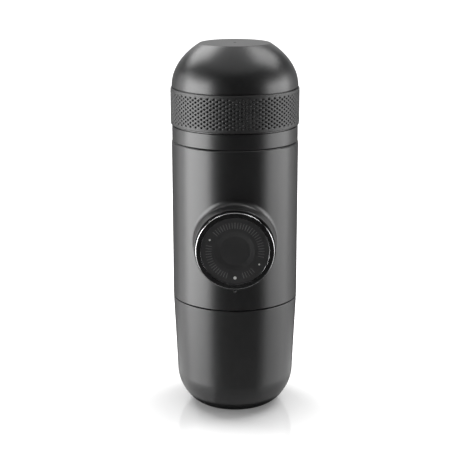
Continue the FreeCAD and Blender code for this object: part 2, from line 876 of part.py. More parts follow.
# ---- group head
def make_upper_neck():
    solid = turned_points(
        [
            (0, neck_floor_height),
            (insert_radius, neck_floor_height),
            (insert_radius, body_top - body_lip_round),
            (neck_groove_radius, body_top - body_lip_round),
            (neck_groove_radius, neck_ring_low),
            (neck_ring_radius, neck_ring_low),
            (neck_ring_radius, neck_top),
            (neck_bore, neck_top),
            (neck_bore, gasket_low),
            (shower_radius + snug_fit, gasket_low),
            (shower_radius + snug_fit, shower_low),
            (water_chamber_radius, shower_low),
            (water_chamber_radius, plate_top),
            (shower_post_radius, plate_top),
            (shower_post_radius, shower_low),
            (0, shower_low),
        ]
    )
    ring_edges = [(neck_ring_radius, neck_ring_low), (neck_ring_radius, neck_top)]
    solid = rounded(solid, neck_ring_round, ring_edges)
    for height in thread_heights(basket_flange_top, neck_top):
        solid = solid.cut(ridge(neck_bore, neck_bore + thread_height, height))
    holes = [
        drum(channel_radius, neck_floor_height, plate_top, 0, suction_offset),
        drum(shower_screw_radius + snug_fit, plate_top - neck_floor / 2, shower_low),
    ]
    return solid.cut(holes + block_screw_holes(neck_floor_height, plate_top))


def make_shower_plate():
    solid = drum(shower_radius, shower_low, shower_top)
    solid = solid.cut(drum(shower_screw_radius + snug_fit, shower_low, shower_top))
    field = water_chamber_radius - shower_hole_margin
    grid = hex_grid(shower_pitch, field, shower_post_radius + shower_hole)
    return perforated(solid, grid, shower_hole, shower_low, shower_top)


def make_shower_screw():
    shank = drum(shower_screw_radius, plate_top - neck_floor / 2, shower_top)
    head = drum(shower_head_radius, shower_top, shower_top + shower_head_height)
    head = rounded(head, shower_head_height / 2, [(shower_head_radius, shower_top + shower_head_height)])
    return cross_recessed(shank.fuse(head), shower_top + shower_head_height, shower_head_radius)


def make_group_gasket():
    return tube(gasket_inner, gasket_outer, gasket_low, basket_low)


# ---- filter basket
def make_filter_basket():
    flange = tube(basket_inner, basket_flange_radius, basket_low, basket_flange_top)
    wall = tube(basket_inner, basket_radius, basket_low, basket_top)
    base = tube(basket_base_bore, basket_radius, screen_top, basket_top)
    solid = flange.fuse([wall, base])
    for i in range(basket_ribs):
        turn = i * 180.0 / basket_ribs
        solid = solid.fuse(bar(2 * basket_inner, basket_rib_width, screen_top, basket_top, turn))
    return solid.removeSplitter()


def make_filter_screen():
    low = screen_top - screen_thickness
    disc = drum(basket_inner - snug_fit, low, screen_top)
    grid = hex_grid(screen_pitch, basket_base_bore - screen_hole_margin, 0.0)
    return perforated(disc, grid, screen_hole, low, screen_top)


def make_basket_gasket():
    return tube(basket_gasket_inner, basket_radius, basket_top, basket_top + basket_gasket_thickness)


# ---- outlet head
def make_outlet_head():
    dome_centre = head_radius - head_dome_reach
    nose_angle = math.asin(head_dome_cut)
    nose_radius = dome_centre + head_dome_reach * math.cos(nose_angle)
    edges = straight_edges(
        [
            (0, basket_flange_top),
            (head_skirt_radius, basket_flange_top),
            (head_skirt_radius, head_ring_low),
            (head_ring_radius, head_ring_low),
            (head_ring_radius, head_ring_top),
            (head_radius, head_ring_top),
            (head_radius, head_dome_start),
        ]
    )
    edges.append(ellipse_edge(dome_centre, head_dome_start, head_dome_reach, head_dome_rise, 0, nose_angle))
    edges += straight_edges([(nose_radius, nose_height), (0, nose_height), (0, basket_flange_top)])
    solid = turned(edges)
    ring_edges = [(head_ring_radius, head_ring_low), (head_ring_radius, head_ring_top)]
    solid = rounded(solid, neck_ring_round, ring_edges)
    solid = rounded(solid, nose_round, [(nose_radius, nose_height)])
    for height in thread_heights(basket_flange_top, neck_top):
        crest = neck_bore - thread_relief
        solid = solid.fuse(ridge(head_skirt_radius, crest, height))
    solid = solid.removeSplitter().cut(head_cavity())
    return solid.cut(drum(nozzle_radius + snug_fit, nose_inner, nose_height))


def head_cavity():
    """The inside of the head: a bore for the basket and a funnel towards the nozzle."""
    rise = nose_inner - cavity_dome_start
    reach = cavity_radius - cavity_apex_radius
    edges = straight_edges(
        [
            (0, basket_flange_top),
            (head_skirt_bore, basket_flange_top),
            (head_skirt_bore, cavity_low),
            (cavity_radius, cavity_low),
            (cavity_radius, cavity_dome_start),
        ]
    )
    edges.append(ellipse_edge(cavity_apex_radius, cavity_dome_start, reach, rise, 0, math.pi / 2))
    edges += straight_edges([(cavity_apex_radius, nose_inner), (0, nose_inner), (0, basket_flange_top)])
    return turned(edges)


def make_nozzle_insert():
    top = nose_height - nozzle_recess
    pipe = drum(nozzle_radius, top - nozzle_length, top)
    flange = drum(nozzle_flange_radius, nose_inner - seat_gap - nozzle_flange, nose_inner - seat_gap)
    solid = pipe.fuse(flange).cut(drum(nozzle_bore, top - nozzle_length, top))
    return rounded(solid.removeSplitter(), nozzle_recess, [(nozzle_bore, top)])


# ---- cup
def make_cup_shell():
    dome_centre = cup_rim_radius - cup_dome_reach
    end = math.radians(cup_dome_angle)
    rise = cup_dome_height / math.sin(end)
    top_radius = dome_centre + cup_dome_reach * math.cos(end)
    edges = straight_edges(
        [
            (0, cup_low),
            (cup_rim_radius, cup_low),
            (cup_rim_radius, cup_band_low),
            (cup_seat_radius, cup_band_low),
            (cup_seat_radius, cup_band_high),
            (cup_rim_radius, cup_band_high),
        ]
    )
    edges.append(ellipse_edge(dome_centre, cup_band_high, cup_dome_reach, rise, 0, end))
    edges += straight_edges([(top_radius, total_height), (0, total_height), (0, cup_low)])
    solid = rounded(turned(edges), cup_edge_round, [(top_radius, total_height)])
    solid = rounded(solid, seam_round, [(cup_rim_radius, cup_low), (cup_rim_radius, cup_band_low)])
    solid = solid.cut(cup_hollow(dome_centre, rise))
    return solid.cut(drum(gate_mark_radius, total_height - gate_mark_depth, total_height))


def cup_hollow(dome_centre, rise):
    inner_reach = cup_wall_radius - dome_centre
    inner_rise = rise - cup_base_wall
    end = math.asin((cup_inner_top - cup_band_high) / inner_rise)
    inner_radius = dome_centre + inner_reach * math.cos(end)
    edges = straight_edges(
        [
            (0, cup_low),
            (cup_mouth_radius, cup_low),
            (cup_mouth_radius, cup_step_height),
            (cup_throat_radius, cup_step_height),
            (cup_throat_radius, cup_ledge_height),
            (cup_wall_radius, cup_ledge_height),
            (cup_wall_radius, cup_band_high),
        ]
    )
    edges.append(ellipse_edge(dome_centre, cup_band_high, inner_reach, inner_rise, 0, end))
    edges += straight_edges([(inner_radius, cup_inner_top), (0, cup_inner_top), (0, cup_low)])
    return turned(edges)


def make_grip_band():
    low, high = cup_band_low + band_gap, cup_band_high - band_gap
    solid = tube(band_radius - band_thickness, band_radius, low, high)
    return rounded(solid, band_edge_round, [(band_radius, low), (band_radius, high)])


# ---- every node and its maker
def all_nodes():
    return {
        "water_tank": make_water_tank(),
        "body_shell": make_body_shell(),
        "index_mark": front_plug(index_mark_radius, index_mark_depth, index_mark_proud),
        "tank_collar": make_tank_collar(),
        "tank_seal": make_tank_seal(),
        "air_valve": make_air_valve(),
        "suction_tube": make_suction_tube(),
        "tube_strainer": make_tube_strainer(),
        "valve_block": make_valve_block(),
        "block_screws": make_block_screws(),
        "inlet_fitting": valve_fitting(floor_top, inlet_seat_height),
        "inlet_ball": valve_ball(inlet_seat_height),
        "outlet_ball": valve_ball(outlet_seat_height),
        "outlet_spring": make_outlet_spring(),
        "outlet_fitting": valve_fitting(outlet_fitting_low, neck_floor_height),
        "pump_barrel": make_pump_barrel(),
        "barrel_seal": make_barrel_seal(),
        "piston_rod": make_piston_rod(),
        "piston_head": make_piston_head(),
        "piston_seals": make_piston_seals(),
        "rod_clip": make_rod_clip(),
        "return_spring": make_return_spring(),
        "guide_bush": make_guide_bush(),
        "boss_collar": make_boss_collar(),
        "piston_sleeve": make_piston_sleeve(),
        "button_flange": make_button_flange(),
        "button_core": make_button_core(),
        "button_bezel": make_button_bezel(),
        "button_disc": make_button_disc(),
        "button_dots": make_button_dots(),
        "upper_neck": make_upper_neck(),
        "shower_plate": make_shower_plate(),
        "shower_screw": make_shower_screw(),
        "group_gasket": make_group_gasket(),
        "filter_basket": make_filter_basket(),
        "filter_screen": make_filter_screen(),
        "basket_gasket": make_basket_gasket(),
        "outlet_head": make_outlet_head(),
        "nozzle_insert": make_nozzle_insert(),
        "cup_shell": make_cup_shell(),
        "grip_band": make_grip_band(),
    }


def main():
    os.makedirs("parts", exist_ok=True)
    for name, shape in all_nodes().items():
        shape.exportStep("parts/" + name + ".step")
        print(name, "solids", len(shape.Solids), "valid", shape.isValid(), "mm3", round(shape.Volume, 1))


main()
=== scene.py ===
import math

import bmesh
import bpy
from mathutils import Matrix, Vector


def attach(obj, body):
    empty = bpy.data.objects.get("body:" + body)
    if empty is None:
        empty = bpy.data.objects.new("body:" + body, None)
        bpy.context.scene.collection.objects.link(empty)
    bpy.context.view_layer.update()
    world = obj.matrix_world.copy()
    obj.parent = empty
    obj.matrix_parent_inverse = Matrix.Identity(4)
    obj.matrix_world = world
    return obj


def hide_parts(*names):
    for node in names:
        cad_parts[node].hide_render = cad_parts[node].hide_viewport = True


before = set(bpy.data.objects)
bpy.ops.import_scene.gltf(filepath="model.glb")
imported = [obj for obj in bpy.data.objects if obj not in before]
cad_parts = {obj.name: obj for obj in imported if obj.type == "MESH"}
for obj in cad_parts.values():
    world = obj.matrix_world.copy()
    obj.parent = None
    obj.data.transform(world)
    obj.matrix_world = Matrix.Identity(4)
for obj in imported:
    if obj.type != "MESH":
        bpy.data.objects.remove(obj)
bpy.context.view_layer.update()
mm = 0.001  # outlines are written in millimetres, meshes are in metres
mergeGap = 0.0005 * mm
upAxis = Vector((0, 0, 1))
print("frame loaded,", len(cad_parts), "nodes")


# Arc points of an outline, as (radius, height) in millimetres.
def ellipseArc(centre, reach, rise, startDegrees, endDegrees, steps):
    points = []
    for i in range(steps + 1):
        turn = math.radians(startDegrees + (endDegrees - startDegrees) * i / steps)
        points.append((centre[0] + reach * math.cos(turn), centre[1] + rise * math.sin(turn)))
    return points


def bezierArc(poles, steps):
    points = []
    for i in range(steps + 1):
        t = i / steps
        weights = ((1 - t) ** 3, 3 * t * (1 - t) ** 2, 3 * t * t * (1 - t), t ** 3)
        points.append(tuple(sum(w * pole[k] for w, pole in zip(weights, poles)) for k in (0, 1)))
    return points


# Lays an outline down as a wire in the XZ plane. A third number on a corner is its rounding.
def wireOutline(bm, outline, closed=True, arcSteps=6):
    ring = [bm.verts.new((point[0] * mm, 0, point[1] * mm)) for point in outline]
    for pair in zip(ring, ring[1:] + ring[:1] if closed else ring[1:]):
        bm.edges.new(pair)
    rounds = []
    for i, point in enumerate(outline):
        if len(point) == 3:
            here = ring[i].co
            before, after = ring[i - 1].co - here, ring[(i + 1) % len(ring)].co - here
            rounds.append((ring[i], point[2] * mm / math.tan(before.angle(after) / 2)))
    for corner, reach in rounds:
        bmesh.ops.bevel(
            bm, geom=[corner], offset=reach, offset_type="OFFSET", segments=arcSteps,
            profile=0.5, affect="VERTICES", material=-1, clamp_overlap=False,
        )
    return bm.verts[:] + bm.edges[:]


def spinWire(bm, geom, steps):
    bmesh.ops.spin(
        bm, geom=geom, cent=(0, 0, 0), axis=upAxis, dvec=(0, 0, 0), angle=2 * math.pi,
        steps=steps, use_merge=True, use_normal_flip=False, use_duplicate=False,
    )
    bmesh.ops.remove_doubles(bm, verts=bm.verts[:], dist=mergeGap)
    bmesh.ops.recalc_face_normals(bm, faces=bm.faces[:])


def turnedMesh(outline, steps=192, arcSteps=6):
    bm = bmesh.new()
    spinWire(bm, wireOutline(bm, outline, True, arcSteps), steps)
    return bm


threadForm = {
    "stepsPerTurn": 72,
    "rootSink": 0.15,       # of the ridge's root below the wall
    "endSink": 0.2,         # of both ends below that root
    "flank": 0.7,           # a flank's length along the axis, as a share of its rise
    "fadeSteps": 12,
}


# A screw thread: the ridge's section is spun with a lead, and both its ends sink into the wall.
def addThread(bm, wall, s):
    crest, low, pitch, land = s["threadCrest"], s["threadLow"], s["threadPitch"], s["threadLand"]
    perTurn = threadForm["stepsPerTurn"]
    side = 1 if crest > wall else -1
    root = wall - side * threadForm["rootSink"]
    slope = abs(crest - root) * threadForm["flank"]
    thread = bmesh.new()
    wireOutline(thread, [
        (root, low - land / 2 - slope), (crest, low - land / 2),
        (crest, low + land / 2), (root, low + land / 2 + slope),
    ])
    steps = int(s["threadTurns"] * perTurn)
    bmesh.ops.spin(
        thread, geom=thread.verts[:] + thread.edges[:], cent=(0, 0, 0), axis=upAxis,
        dvec=(0, 0, pitch * mm / perTurn), angle=2 * math.pi * steps / perTurn,
        steps=steps, use_merge=False, use_normal_flip=False, use_duplicate=False,
    )
    ends = [edge for edge in thread.edges if edge.is_boundary]
    bmesh.ops.holes_fill(thread, edges=ends, sides=4)
    fade = threadForm["fadeSteps"]
    sunk = (root - side * threadForm["endSink"]) * mm
    for vert in thread.verts:
        along = (vert.co.z / mm - low) / pitch * perTurn
        share = min(along, steps - along) / fade
        reach = math.hypot(vert.co.x, vert.co.y)
        if share < 1 and (reach - root * mm) * side > 0:
            shrink = (sunk + (reach - sunk) * max(share, 0)) / reach
            vert.co.x, vert.co.y = vert.co.x * shrink, vert.co.y * shrink
    bmesh.ops.recalc_face_normals(thread, faces=thread.faces[:])
    carrier = bpy.data.meshes.new("thread")
    thread.to_mesh(carrier)
    thread.free()
    bm.from_mesh(carrier)
    bpy.data.meshes.remove(carrier)


pumpHeight = 86.0


# Lays a mesh that was made standing along Z down on the pump's axis.
def layOnPump(bm):
    turn = Matrix.Rotation(math.radians(90), 4, "X")
    lift = Matrix.Translation((0, 0, pumpHeight * mm))
    bmesh.ops.transform(bm, matrix=lift @ turn, verts=bm.verts[:])


def finishPiece(bm, name, body, finish, slotName, *replaced, sharpDegrees=34, evenShading=True):
    for face in bm.faces:
        face.smooth = True
    for edge in bm.edges:
        if len(edge.link_faces) == 2 and edge.calc_face_angle(0) > math.radians(sharpDegrees):
            edge.smooth = False
    mesh = bpy.data.meshes.new(name)
    bm.to_mesh(mesh)
    bm.free()
    mesh.materials.append(finishes[finish])
    piece = bpy.data.objects.new(name, mesh)
    bpy.context.scene.collection.objects.link(piece)
    if evenShading:
        shading = piece.modifiers.new("evenShading", "WEIGHTED_NORMAL")
        shading.keep_sharp = True
    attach(piece, body)
    if replaced:
        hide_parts(*replaced)
    print("made", name, len(mesh.polygons), "faces")
    return piece


def newMaterial(name):
    material = bpy.data.materials.new(name)
    material.use_nodes = True
    tree = material.node_tree
    shader = tree.nodes["Principled BSDF"]
    place = tree.nodes.new("ShaderNodeTexCoord").outputs["Object"]
    return material, tree, shader, place


def addNoise(tree, place, scale, detail=3.0, roughness=0.5, stretch=None):
    if stretch:
        mapping = tree.nodes.new("ShaderNodeMapping")
        mapping.inputs["Scale"].default_value = stretch
        tree.links.new(place, mapping.inputs["Vector"])
        place = mapping.outputs["Vector"]
    noise = tree.nodes.new("ShaderNodeTexNoise")
    noise.inputs["Scale"].default_value = scale
    noise.inputs["Detail"].default_value = detail
    noise.inputs["Roughness"].default_value = roughness
    tree.links.new(place, noise.inputs["Vector"])
    return noise.outputs["Fac"]


def addRange(tree, value, start, end):
    mapRange = tree.nodes.new("ShaderNodeMapRange")
    labels = ("From Min", "From Max", "To Min", "To Max")
    for label, number in zip(labels, (*start, *end)):
        mapRange.inputs[label].default_value = number
    tree.links.new(value, mapRange.inputs["Value"])
    return mapRange.outputs["Result"]


def addMix(tree, factor, first, second):
    mix = tree.nodes.new("ShaderNodeMix")
    mix.data_type = "RGBA"
    tree.links.new(factor, mix.inputs["Factor"])
    for socket, colour in ((mix.inputs[6], first), (mix.inputs[7], second)):
        socket.default_value = (*colour, 1)
    return mix.outputs[2]


def addBump(tree, height, distance, strength):
    bump = tree.nodes.new("ShaderNodeBump")
    bump.inputs["Distance"].default_value = distance
    bump.inputs["Strength"].default_value = strength
    tree.links.new(height, bump.inputs["Height"])
    return bump.outputs["Normal"]


# Each finish has a dark and a light tone, a range of roughness and a grain. Depths are in metres.
plastics = {
    "shell": {
        "name": "shellPlastic", "dark": (0.016, 0.0162, 0.0168), "light": (0.021, 0.0212, 0.022),
        "gloss": (0.29, 0.37), "grainScale": 2600, "grainDepth": 0.00002,
    },
    "grip": {
        "name": "gripPlastic", "dark": (0.018, 0.018, 0.0185), "light": (0.026, 0.026, 0.0265),
        "gloss": (0.42, 0.52), "grainScale": 2600, "grainDepth": 0.00003,
    },
    "collar": {
        "name": "collarPlastic", "dark": (0.10, 0.10, 0.105), "light": (0.13, 0.13, 0.135),
        "gloss": (0.38, 0.5), "grainScale": 2200, "grainDepth": 0.00003,
    },
    "inner": {
        "name": "innerPlastic", "dark": (0.030, 0.031, 0.033), "light": (0.04, 0.041, 0.043),
        "gloss": (0.4, 0.5), "grainScale": 2200, "grainDepth": 0.00003,
    },
    "tube": {
        "name": "tubePlastic", "dark": (0.55, 0.56, 0.56), "light": (0.63, 0.64, 0.64),
        "gloss": (0.25, 0.35), "grainScale": 1500, "grainDepth": 0.00002,
    },
    "button": {
        "name": "buttonPlastic", "dark": (0.034, 0.034, 0.035), "light": (0.042, 0.042, 0.043),
        "gloss": (0.34, 0.42), "grainScale": 3200, "grainDepth": 0.00001,
    },
    "ticks": {
        "name": "tickPlastic", "dark": (0.11, 0.11, 0.112), "light": (0.14, 0.14, 0.142),
        "gloss": (0.4, 0.5), "grainScale": 3000, "grainDepth": 0.00001,
    },
    "mark": {
        "name": "markPaint", "dark": (0.68, 0.68, 0.66), "light": (0.78, 0.78, 0.76),
        "gloss": (0.35, 0.45), "grainScale": 3000, "grainDepth": 0.00002,
    },
    "rubber": {
        "name": "sealRubber", "dark": (0.02, 0.02, 0.02), "light": (0.035, 0.035, 0.034),
        "gloss": (0.6, 0.75), "grainScale": 1800, "grainDepth": 0.00004,
    },
}
plasticLook = {
    "cloudScale": 60, "cloudDetail": 4.0, "grainDetail": 2.0, "noiseRoughness": 0.6,
    "cloudSpread": (0.35, 0.65), "grainSpread": (0.3, 0.7), "bumpStrength": 0.5,
}
metals = {
    "steel": {
        "name": "brushedSteel", "dark": (0.42, 0.42, 0.42), "light": (0.56, 0.56, 0.55),
        "gloss": (0.22, 0.36), "lineStretch": (1, 1, 8), "lineDepth": 0.00001,
    },
    "chrome": {
        "name": "polishedChrome", "dark": (0.52, 0.52, 0.53), "light": (0.62, 0.62, 0.63),
        "gloss": (0.05, 0.12), "lineStretch": (1, 0.15, 1), "lineDepth": 0.000004,
    },
}
metalLook = {
    "lineScale": 900, "lineRoughness": 0.6, "smearScale": 120,
    "spread": (0.3, 0.7), "bumpStrength": 0.4,
}


# Moulded plastic with a spark-eroded grain: cloudy tone, fine pitting and a broad soft gloss.
def mouldedPlastic(s):
    look = plasticLook
    material, tree, shader, place = newMaterial(s["name"])
    cloud = addNoise(tree, place, look["cloudScale"], look["cloudDetail"], look["noiseRoughness"])
    tone = addMix(tree, addRange(tree, cloud, look["cloudSpread"], (0, 1)), s["dark"], s["light"])
    grain = addNoise(tree, place, s["grainScale"], look["grainDetail"], look["noiseRoughness"])
    gloss = addRange(tree, grain, look["grainSpread"], s["gloss"])
    bump = addBump(tree, grain, s["grainDepth"], look["bumpStrength"])
    tree.links.new(tone, shader.inputs["Base Color"])
    tree.links.new(gloss, shader.inputs["Roughness"])
    tree.links.new(bump, shader.inputs["Normal"])
    return material


# Metal with fine lines round or along the piece, as a lathe or a polishing belt leaves them.
def polishedMetal(s):
    look = metalLook
    material, tree, shader, place = newMaterial(s["name"])
    lines = addNoise(
        tree, place, look["lineScale"], roughness=look["lineRoughness"], stretch=s["lineStretch"]
    )
    smear = addNoise(tree, place, look["smearScale"])
    tone = addMix(tree, addRange(tree, lines, look["spread"], (0, 1)), s["dark"], s["light"])
    gloss = addRange(tree, smear, look["spread"], s["gloss"])
    bump = addBump(tree, lines, s["lineDepth"], look["bumpStrength"])
    shader.inputs["Metallic"].default_value = 1.0
    tree.links.new(tone, shader.inputs["Base Color"])
    tree.links.new(gloss, shader.inputs["Roughness"])
    tree.links.new(bump, shader.inputs["Normal"])
    return material


nodeFinish = {
    "shell": ["water_tank", "body_shell", "upper_neck", "outlet_head", "cup_shell", "index_mark"],
    "grip": ["grip_band"],
    "collar": ["boss_collar"],
    "inner": [
        "tank_collar", "valve_block", "guide_bush", "nozzle_insert", "piston_head",
        "inlet_fitting", "outlet_fitting",
    ],
    "tube": ["suction_tube", "tube_strainer", "pump_barrel"],
    "button": ["button_core", "button_disc"],
    "mark": ["button_dots"],
    "rubber": [
        "tank_seal", "barrel_seal", "piston_seals", "group_gasket", "basket_gasket", "air_valve",
    ],
    "steel": [
        "block_screws", "outlet_spring", "return_spring", "shower_plate", "shower_screw",
        "filter_basket", "filter_screen", "piston_rod", "rod_clip", "inlet_ball", "outlet_ball",
    ],
    "chrome": ["piston_sleeve", "button_flange", "button_bezel"],
}

finishes = {key: mouldedPlastic(settings) for key, settings in plastics.items()}
finishes.update({key: polishedMetal(settings) for key, settings in metals.items()})
for finishName, nodeNames in nodeFinish.items():
    for nodeName in nodeNames:
        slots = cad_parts[nodeName].data.materials
        slots.clear()
        slots.append(finishes[finishName])
print("finishes made,", len(finishes))

cup = {
    "low": 129.85, "top": 175.0,
    "rimRadius": 29.5, "seatRadius": 28.85,
    "seatLow": 137.0, "seatHigh": 155.2,
    "domeReach": 45.07, "domeRise": 28.0014, "domeTurn": 45.0, "domeSteps": 40,
    "mouth": (28.6, 133.8), "throat": (27.85, 137.5), "wall": 27.4,
    "innerTop": 172.9, "innerRise": 25.9014, "innerSteps": 32, "innerRound": 1.0,
    "edgeRound": 1.5, "lipRound": 0.4, "mouthRound": 0.15, "seatRound": 0.3, "throatRound": 0.1,
    "gateRadius": 0.8, "gateDepth": 0.6, "gateRound": 0.1,
}


def makeCup():
    s = cup
    centre = (s["rimRadius"] - s["domeReach"], s["seatHigh"])
    dome = ellipseArc(centre, s["domeReach"], s["domeRise"], 0, s["domeTurn"], s["domeSteps"])
    dome[-1] = (*dome[-1], s["edgeRound"])
    innerReach = s["wall"] - centre[0]
    innerTurn = math.degrees(math.asin((s["innerTop"] - s["seatHigh"]) / s["innerRise"]))
    hollow = ellipseArc(centre, innerReach, s["innerRise"], innerTurn, 0, s["innerSteps"])
    hollow[0] = (*hollow[0], s["innerRound"])
    mouth, throat = s["mouth"], s["throat"]
    outline = [
        (mouth[0], s["low"], s["mouthRound"]),
        (s["rimRadius"], s["low"], s["lipRound"]),
        (s["rimRadius"], s["seatLow"], s["seatRound"]),
        (s["seatRadius"], s["seatLow"]),
        (s["seatRadius"], s["seatHigh"]),
        *dome,
        (s["gateRadius"], s["top"], s["gateRound"]),
        (s["gateRadius"], s["top"] - s["gateDepth"]),
        (0, s["top"] - s["gateDepth"]),
        (0, s["innerTop"]),
        *hollow,
        (s["wall"], throat[1]),
        (throat[0], throat[1], s["throatRound"]),
        (throat[0], mouth[1]),
        (mouth[0], mouth[1]),
    ]
    finishPiece(turnedMesh(outline), "cupShell", "cup", "shell", "shell_plastic", "cup_shell")


band = {
    "low": 137.6, "high": 154.6, "outer": 30.1, "inner": 28.9,
    "columns": 60, "rows": 8, "netHeight": 15.0,
    "ridgeInset": 0.2, "floorInset": 0.02,
    "pitAcross": 1.36,      # of the sloping pit's mouth, before the surface is smoothed
    "pitFloor": 0.55,       # share of the mouth that its floor keeps
    "pitDepth": 0.8,
    "edgeRound": 0.4, "edgePath": ((0.1, 0.45), (0.45, 0.1)),      # shares of the rounding
    "margin": 0.9, "hold": 0.05, "boreRound": 0.1,
    "sharpDegrees": 80,
}


# A net of crossed ridges with a round pit in every mesh of it.
def makeBand():
    s = band
    middle = (s["low"] + s["high"]) / 2
    step = s["netHeight"] / s["rows"]
    bm = bmesh.new()
    wire = [(s["outer"], middle - s["netHeight"] / 2 + i * step) for i in range(s["rows"] + 1)]
    spinWire(bm, wireOutline(bm, wire, closed=False), s["columns"])
    if bm.faces[:][0].normal.dot(bm.faces[:][0].calc_center_median()) < 0:
        bmesh.ops.reverse_faces(bm, faces=bm.faces[:])
    rims = [edge for edge in bm.edges if edge.is_boundary]
    inside = [edge for edge in bm.edges if not edge.is_boundary]
    bulge = s["outer"] * mm * (1 - math.cos(math.pi / s["columns"]))
    bmesh.ops.poke(
        bm, faces=bm.faces[:], offset=bulge, center_mode="MEAN", use_relative_offset=False
    )
    bmesh.ops.dissolve_edges(bm, edges=inside, use_verts=False, use_face_split=False)
    pits = [face for face in bm.faces if len(face.verts) == 4]
    sizes = (
        (s["ridgeInset"], s["pitAcross"], 0),
        (s["floorInset"], s["pitAcross"] * s["pitFloor"], s["pitDepth"]),
    )
    for inset, across, sink in sizes:
        bmesh.ops.inset_individual(
            bm, faces=pits, thickness=inset * mm, depth=0, use_even_offset=True
        )
        for face in pits:
            shapePit(face, across * mm, sink * mm)
    for side, end in ((-1, s["low"]), (1, s["high"])):
        ring = [edge for edge in rims if (edge.verts[0].co.z - middle * mm) * side > 0]
        stretchRim(bm, ring, side, end)
    openRims = [edge for edge in bm.edges if edge.is_boundary]
    bmesh.ops.bridge_loops(bm, edges=openRims)
    bmesh.ops.recalc_face_normals(bm, faces=bm.faces[:])
    piece = finishPiece(
        bm, "knurledBand", "cup", "grip", "grip_plastic", "grip_band",
        sharpDegrees=s["sharpDegrees"], evenShading=False,
    )
    smooth = piece.modifiers.new("softNet", "SUBSURF")
    smooth.levels = smooth.render_levels = 1


# Squares a pit's face off in its own plane, to a width and height of across, and sinks it.
def shapePit(face, across, sink):
    centre = face.calc_center_median()
    outward = Vector((centre.x, centre.y, 0)).normalized()
    sideways = upAxis.cross(outward)
    width = max(abs((vert.co - centre).dot(sideways)) for vert in face.verts) * 2
    height = max(abs((vert.co - centre).z) for vert in face.verts) * 2
    for vert in face.verts:
        place = vert.co - centre
        aside, above = place.dot(sideways) * across / width, place.z * across / height
        level = outward * (place.dot(outward) - sink)
        vert.co = centre + sideways * aside + upAxis * above + level


# Carries the net's rim on as a plain margin, over the rounded edge and in to the bore.
def stretchRim(bm, ring, side, end):
    s = band
    r, outer, inner = s["edgeRound"], s["outer"], s["inner"]
    path = [
        (outer, end - side * (r + s["margin"])),
        (outer, end - side * (r + s["hold"])),
        *((outer - inward * r, end - side * down * r) for inward, down in s["edgePath"]),
        (outer - r - s["hold"], end),
        (inner + s["boreRound"], end),
        (inner, end - side * s["boreRound"]),
    ]
    for radius, height in path:
        made = bmesh.ops.extrude_edge_only(bm, edges=ring)["geom"]
        ring = [item for item in made if isinstance(item, bmesh.types.BMEdge)]
        for vert in [item for item in made if isinstance(item, bmesh.types.BMVert)]:
            turn = math.atan2(vert.co.y, vert.co.x)
            vert.co = (radius * mm * math.cos(turn), radius * mm * math.sin(turn), height * mm)


tank = {
    "foot": 16.0, "waist": 27.97, "outer": 29.74, "top": 54.15, "seamRound": 0.4,
    "cornerHeight": 15.9, "lowerPull": 21.65, "upperPull": (27.6367, 8.7), "cornerSteps": 28,
    "innerLowerPull": 20.87, "innerUpperPull": 9.838, "innerSteps": 24,
    "neckRadius": 25.7, "neckBore": 23.9, "neckTop": 63.45, "neckRound": 0.3,
    "wall": 2.2, "base": 2.5, "shoulder": 49.65, "boreRound": 0.8, "shoulderRound": 1.5,
    "threadCrest": 26.3, "threadLow": 56.3, "threadTurns": 1.9,
    "threadPitch": 3.0, "threadLand": 1.0,
}


def makeTank():
    s = tank
    corner = bezierArc([
        (s["foot"], 0), (s["lowerPull"], 0), s["upperPull"], (s["waist"], s["cornerHeight"]),
    ], s["cornerSteps"])
    inner = bezierArc([
        (s["waist"] - s["wall"], s["cornerHeight"]),
        (s["upperPull"][0] - s["wall"], s["innerUpperPull"]),
        (s["innerLowerPull"], s["base"]),
        (s["foot"], s["base"]),
    ], s["innerSteps"])
    outline = [
        (0, 0), *corner,
        (s["outer"], s["top"], s["seamRound"]),
        (s["neckRadius"], s["top"], s["neckRound"]),
        (s["neckRadius"], s["neckTop"], s["neckRound"]),
        (s["neckBore"], s["neckTop"], s["neckRound"]),
        (s["neckBore"], s["top"] - s["wall"], s["boreRound"]),
        (s["outer"] - s["wall"], s["shoulder"], s["shoulderRound"]),
        *inner,
        (0, s["base"]),
    ]
    bm = turnedMesh(outline)
    addThread(bm, s["neckRadius"], s)
    finishPiece(bm, "waterTank", "tank", "shell", "shell_plastic", "water_tank")


head = {
    "skirt": 25.6, "skirtLow": 122.0, "bore": 23.3, "skirtRound": 0.3,
    "ring": 27.5, "ringLow": 133.7, "ringTop": 137.2, "ringRound": 0.5,
    "radius": 26.6, "domeFootRound": 0.2,
    "domeLow": 148.0, "domeReach": 17.2, "domeRise": 24.0, "domeTurn": 58.2117, "domeSteps": 36,
    "nose": 168.4, "noseRound": 1.2, "noseInner": 166.3, "nozzleHole": 5.65, "holeRound": 0.2,
    "cavity": 21.5, "cavityLow": 136.9, "cavityDome": 146.0, "cavityApex": 8.0, "cavitySteps": 28,
    "threadCrest": 26.05, "threadLow": 124.2, "threadTurns": 2.6,
    "threadPitch": 3.0, "threadLand": 1.0,
}


